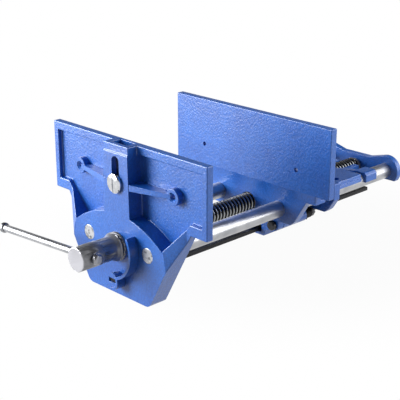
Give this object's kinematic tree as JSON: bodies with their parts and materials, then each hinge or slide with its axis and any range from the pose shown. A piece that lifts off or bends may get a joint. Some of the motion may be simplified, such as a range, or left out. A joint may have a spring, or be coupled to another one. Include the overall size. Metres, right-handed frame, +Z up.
{
  "type": "woodworking vise",
  "caption": "Quick-release woodworking vise that bolts under a bench, with cast jaws, twin guide rods, a screw with tommy bar, a release lever and a sliding dog.",
  "frame": {"origin": "in the middle plane, 65 mm behind the rear clamping face, on the deck's top face, which bears on the underside of the bench", "axes": "+X along the jaws to the right as the user faces the vise, +Y to the rear under the bench, +Z up"},
  "size_m": [0.2614, 0.4579, 0.1582],
  "materials": {
    "blue_enamel": "hammered blue enamel on cast iron",
    "bright_steel": "ground and polished steel",
    "chrome_plate": "bright plated steel",
    "oiled_steel": "turned steel with a film of oil",
    "zinc_steel": "zinc plated steel",
    "spring_steel": "oil-blackened spring wire",
    "black_bolt": "black oxide on a turned and threaded bolt",
    "black_bar": "black oxide on a flat steel bar"
  },
  "bodies": {
    "bench_frame": {"fixed_jaw": "blue_enamel", "pivot_bolt": "black_bolt", "pivot_nut": "black_bolt"},
    "sliding_frame": {"front_jaw": "blue_enamel", "guide_rod_left": "bright_steel", "guide_rod_right": "bright_steel", "rear_yoke": "blue_enamel", "yoke_pins": "zinc_steel"},
    "screw_group": {"main_screw": "oiled_steel", "thrust_collar": "oiled_steel", "collar_pin": "zinc_steel"},
    "handle_group": {"tommy_bar": "bright_steel", "bar_knob_left": "bright_steel", "bar_knob_right": "bright_steel"},
    "release_group": {"release_lever": "blue_enamel", "trip_bar": "black_bar", "lever_pin": "zinc_steel", "trip_bar_pin": "zinc_steel"},
    "nut_group": {"nut_carrier": "blue_enamel", "half_nut": "oiled_steel", "half_nut_screws": "zinc_steel", "nut_spring": "spring_steel"},
    "dog_group": {"dog": "oiled_steel"},
    "dog_screw_group": {"dog_screw": "chrome_plate"}
  },
  "joints": [
    {"name": "jaw_slide", "type": "slide", "parent": "bench_frame", "child": "sliding_frame", "axis": [0, 1, 0], "range_m": [-0.0135, 0.1682]},
    {"name": "screw_spin", "type": "hinge", "parent": "sliding_frame", "child": "screw_group", "pos_m": [0, -0.245, -0.0225], "axis": [0, 1, 0], "range_deg": [-973, 12111]},
    {"name": "handle_slide", "type": "slide", "parent": "screw_group", "child": "handle_group", "axis": [0.9976, 0, 0.0698], "range_m": [0, 0.128]},
    {"name": "lever_turn", "type": "hinge", "parent": "sliding_frame", "child": "release_group", "pos_m": [0.0015, -0.25, -0.0572], "axis": [0, -1, 0], "range_deg": [0, 22.05]},
    {"name": "nut_swing", "type": "hinge", "parent": "bench_frame", "child": "nut_group", "pos_m": [0.038, -0.025, -0.041], "axis": [0, -1, 0], "range_deg": [0, 3], "stiffness_Nm_per_rad": 1.2, "springref_deg": -17.19},
    {"name": "dog_slide", "type": "slide", "parent": "sliding_frame", "child": "dog_group", "axis": [0, 0, 1], "range_m": [0, 0.022]},
    {"name": "dog_screw_turn", "type": "hinge", "parent": "dog_group", "child": "dog_screw_group", "pos_m": [0, -0.25, 0.0435], "axis": [0, -1, 0], "range_deg": [0, 360]}
  ],
  "couplings": [
    {"joint": "screw_spin", "follows": "jaw_slide", "rad_per_m": 1256.6},
    {"joint": "lever_turn", "follows": "nut_swing", "ratio": 7.3333}
  ]
}
